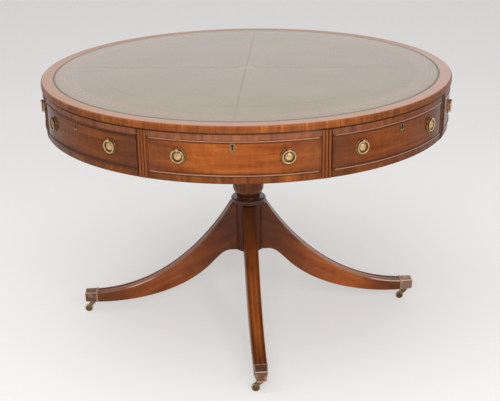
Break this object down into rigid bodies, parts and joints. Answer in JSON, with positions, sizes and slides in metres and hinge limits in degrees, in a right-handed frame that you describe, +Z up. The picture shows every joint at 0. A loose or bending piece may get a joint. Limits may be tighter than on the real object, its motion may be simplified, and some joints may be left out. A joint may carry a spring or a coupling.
{
  "type": "drum table",
  "caption": "Round drum table with a leather top, frieze drawers and false fronts with ring pulls, turning on a pillar with sabre legs on castors.",
  "frame": {"origin": "on the floor, under the axis that the drum turns about", "axes": "+Z up along the drum's axis; -Y out of the front drawer; +X to the right of someone facing it"},
  "size_m": [1.15, 1.15, 0.76],
  "materials": {
    "mahogany": "polished",
    "carcase_wood": "bare",
    "drawer_lining": "bare",
    "leather": "polished",
    "brass": "polished",
    "aged_brass": "tarnished",
    "iron": "matt"
  },
  "bodies": {
    "base": {"pillar": "mahogany", "leg_front": "mahogany", "leg_right": "mahogany", "leg_back": "mahogany", "leg_left": "mahogany", "pivot_spindle": "iron", "spindle_nut": "iron", "lower_bearing_plate": "iron", "brace_plate": "iron", "toe_caps": "aged_brass"},
    "drum": {"top_board": "carcase_wood", "top_banding": "mahogany", "leather_quarters": "leather", "upper_rail": "mahogany", "lower_rail": "mahogany", "reeded_stiles": "mahogany", "drum_floor": "carcase_wood", "partition_boards": "carcase_wood", "drawer_runners": "carcase_wood", "drawer_kickers": "carcase_wood", "hub_block": "carcase_wood", "upper_bearing_plate": "iron", "false_fronts": "mahogany", "false_front_fittings": "brass"},
    "drawer_front": {"drawer_front_front": "mahogany", "drawer_box_front": "drawer_lining", "drawer_fittings_front": "brass"},
    "pull_ring_drawer_front_left": {"pull_ring_drawer_front_left": "brass"},
    "pull_ring_drawer_front_right": {"pull_ring_drawer_front_right": "brass"},
    "drawer_right": {"drawer_front_right": "mahogany", "drawer_box_right": "drawer_lining", "drawer_fittings_right": "brass"},
    "pull_ring_drawer_right_left": {"pull_ring_drawer_right_left": "brass"},
    "pull_ring_drawer_right_right": {"pull_ring_drawer_right_right": "brass"},
    "drawer_back": {"drawer_front_back": "mahogany", "drawer_box_back": "drawer_lining", "drawer_fittings_back": "brass"},
    "pull_ring_drawer_back_left": {"pull_ring_drawer_back_left": "brass"},
    "pull_ring_drawer_back_right": {"pull_ring_drawer_back_right": "brass"},
    "drawer_left": {"drawer_front_left": "mahogany", "drawer_box_left": "drawer_lining", "drawer_fittings_left": "brass"},
    "pull_ring_drawer_left_left": {"pull_ring_drawer_left_left": "brass"},
    "pull_ring_drawer_left_right": {"pull_ring_drawer_left_right": "brass"},
    "pull_ring_false_front_1_left": {"pull_ring_false_front_1_left": "brass"},
    "pull_ring_false_front_1_right": {"pull_ring_false_front_1_right": "brass"},
    "pull_ring_false_front_2_left": {"pull_ring_false_front_2_left": "brass"},
    "pull_ring_false_front_2_right": {"pull_ring_false_front_2_right": "brass"},
    "pull_ring_false_front_3_left": {"pull_ring_false_front_3_left": "brass"},
    "pull_ring_false_front_3_right": {"pull_ring_false_front_3_right": "brass"},
    "pull_ring_false_front_4_left": {"pull_ring_false_front_4_left": "brass"},
    "pull_ring_false_front_4_right": {"pull_ring_false_front_4_right": "brass"},
    "castor_fork_front": {"castor_fork_front": "aged_brass"},
    "castor_wheel_front": {"castor_wheel_front": "aged_brass"},
    "castor_fork_right": {"castor_fork_right": "aged_brass"},
    "castor_wheel_right": {"castor_wheel_right": "aged_brass"},
    "castor_fork_back": {"castor_fork_back": "aged_brass"},
    "castor_wheel_back": {"castor_wheel_back": "aged_brass"},
    "castor_fork_left": {"castor_fork_left": "aged_brass"},
    "castor_wheel_left": {"castor_wheel_left": "aged_brass"}
  },
  "joints": [
    {"name": "drum_turn", "type": "hinge", "parent": "base", "child": "drum", "pos_m": [0, 0, 0.62], "axis": [0, 0, 1], "continuous": true},
    {"name": "drawer_front_slide", "type": "slide", "parent": "drum", "child": "drawer_front", "axis": [0, -1, 0], "range_m": [0, 0.25]},
    {"name": "pull_ring_drawer_front_left_swing", "type": "hinge", "parent": "drawer_front", "child": "pull_ring_drawer_front_left", "pos_m": [-0.1304, -0.56228, 0.6978], "axis": [-0.9741, 0.2259, 0], "range_deg": [-3, 170]},
    {"name": "pull_ring_drawer_front_right_swing", "type": "hinge", "parent": "drawer_front", "child": "pull_ring_drawer_front_right", "pos_m": [0.1304, -0.56228, 0.6978], "axis": [-0.9741, -0.2259, 0], "range_deg": [-3, 170]},
    {"name": "drawer_right_slide", "type": "slide", "parent": "drum", "child": "drawer_right", "axis": [1, 0, 0], "range_m": [0, 0.25]},
    {"name": "pull_ring_drawer_right_left_swing", "type": "hinge", "parent": "drawer_right", "child": "pull_ring_drawer_right_left", "pos_m": [0.56228, -0.1304, 0.6978], "axis": [-0.2259, -0.9741, 0], "range_deg": [-3, 170]},
    {"name": "pull_ring_drawer_right_right_swing", "type": "hinge", "parent": "drawer_right", "child": "pull_ring_drawer_right_right", "pos_m": [0.56228, 0.1304, 0.6978], "axis": [0.2259, -0.9741, 0], "range_deg": [-3, 170]},
    {"name": "drawer_back_slide", "type": "slide", "parent": "drum", "child": "drawer_back", "axis": [0, 1, 0], "range_m": [0, 0.25]},
    {"name": "pull_ring_drawer_back_left_swing", "type": "hinge", "parent": "drawer_back", "child": "pull_ring_drawer_back_left", "pos_m": [0.1304, 0.56228, 0.6978], "axis": [0.9741, -0.2259, 0], "range_deg": [-3, 170]},
    {"name": "pull_ring_drawer_back_right_swing", "type": "hinge", "parent": "drawer_back", "child": "pull_ring_drawer_back_right", "pos_m": [-0.1304, 0.56228, 0.6978], "axis": [0.9741, 0.2259, 0], "range_deg": [-3, 170]},
    {"name": "drawer_left_slide", "type": "slide", "parent": "drum", "child": "drawer_left", "axis": [-1, 0, 0], "range_m": [0, 0.25]},
    {"name": "pull_ring_drawer_left_left_swing", "type": "hinge", "parent": "drawer_left", "child": "pull_ring_drawer_left_left", "pos_m": [-0.56228, 0.1304, 0.6978], "axis": [0.2259, 0.9741, 0], "range_deg": [-3, 170]},
    {"name": "pull_ring_drawer_left_right_swing", "type": "hinge", "parent": "drawer_left", "child": "pull_ring_drawer_left_right", "pos_m": [-0.56228, -0.1304, 0.6978], "axis": [-0.2259, 0.9741, 0], "range_deg": [-3, 170]},
    {"name": "pull_ring_false_front_1_left_swing", "type": "hinge", "parent": "drum", "child": "pull_ring_false_front_1_left", "pos_m": [0.30538, -0.4898, 0.6978], "axis": [-0.8486, -0.5291, 0], "range_deg": [-3, 170]},
    {"name": "pull_ring_false_front_1_right_swing", "type": "hinge", "parent": "drum", "child": "pull_ring_false_front_1_right", "pos_m": [0.4898, -0.30538, 0.6978], "axis": [-0.5291, -0.8486, 0], "range_deg": [-3, 170]},
    {"name": "pull_ring_false_front_2_left_swing", "type": "hinge", "parent": "drum", "child": "pull_ring_false_front_2_left", "pos_m": [0.4898, 0.30538, 0.6978], "axis": [0.5291, -0.8486, 0], "range_deg": [-3, 170]},
    {"name": "pull_ring_false_front_2_right_swing", "type": "hinge", "parent": "drum", "child": "pull_ring_false_front_2_right", "pos_m": [0.30538, 0.4898, 0.6978], "axis": [0.8486, -0.5291, 0], "range_deg": [-3, 170]},
    {"name": "pull_ring_false_front_3_left_swing", "type": "hinge", "parent": "drum", "child": "pull_ring_false_front_3_left", "pos_m": [-0.30538, 0.4898, 0.6978], "axis": [0.8486, 0.5291, 0], "range_deg": [-3, 170]},
    {"name": "pull_ring_false_front_3_right_swing", "type": "hinge", "parent": "drum", "child": "pull_ring_false_front_3_right", "pos_m": [-0.4898, 0.30538, 0.6978], "axis": [0.5291, 0.8486, 0], "range_deg": [-3, 170]},
    {"name": "pull_ring_false_front_4_left_swing", "type": "hinge", "parent": "drum", "child": "pull_ring_false_front_4_left", "pos_m": [-0.4898, -0.30538, 0.6978], "axis": [-0.5291, 0.8486, 0], "range_deg": [-3, 170]},
    {"name": "pull_ring_false_front_4_right_swing", "type": "hinge", "parent": "drum", "child": "pull_ring_false_front_4_right", "pos_m": [-0.30538, -0.4898, 0.6978], "axis": [-0.8486, 0.5291, 0], "range_deg": [-3, 170]},
    {"name": "castor_front_swivel", "type": "hinge", "parent": "base", "child": "castor_fork_front", "pos_m": [0.05536, -0.48586, 0.04], "axis": [0, 0, 1], "continuous": true},
    {"name": "castor_front_roll", "type": "hinge", "parent": "castor_fork_front", "child": "castor_wheel_front", "pos_m": [0.04088, -0.48674, 0.0118], "axis": [0.061, -0.9981, 0], "continuous": true},
    {"name": "castor_right_swivel", "type": "hinge", "parent": "base", "child": "castor_fork_right", "pos_m": [0.48586, 0.05536, 0.04], "axis": [0, 0, 1], "continuous": true},
    {"name": "castor_right_roll", "type": "hinge", "parent": "castor_fork_right", "child": "castor_wheel_right", "pos_m": [0.47138, 0.05447, 0.0118], "axis": [0.061, -0.9981, 0], "continuous": true},
    {"name": "castor_back_swivel", "type": "hinge", "parent": "base", "child": "castor_fork_back", "pos_m": [-0.05536, 0.48586, 0.04], "axis": [0, 0, 1], "continuous": true},
    {"name": "castor_back_roll", "type": "hinge", "parent": "castor_fork_back", "child": "castor_wheel_back", "pos_m": [-0.06983, 0.48497, 0.0118], "axis": [0.061, -0.9981, 0], "continuous": true},
    {"name": "castor_left_swivel", "type": "hinge", "parent": "base", "child": "castor_fork_left", "pos_m": [-0.48586, -0.05536, 0.04], "axis": [0, 0, 1], "continuous": true},
    {"name": "castor_left_roll", "type": "hinge", "parent": "castor_fork_left", "child": "castor_wheel_left", "pos_m": [-0.50033, -0.05624, 0.0118], "axis": [0.061, -0.9981, 0], "continuous": true}
  ]
}
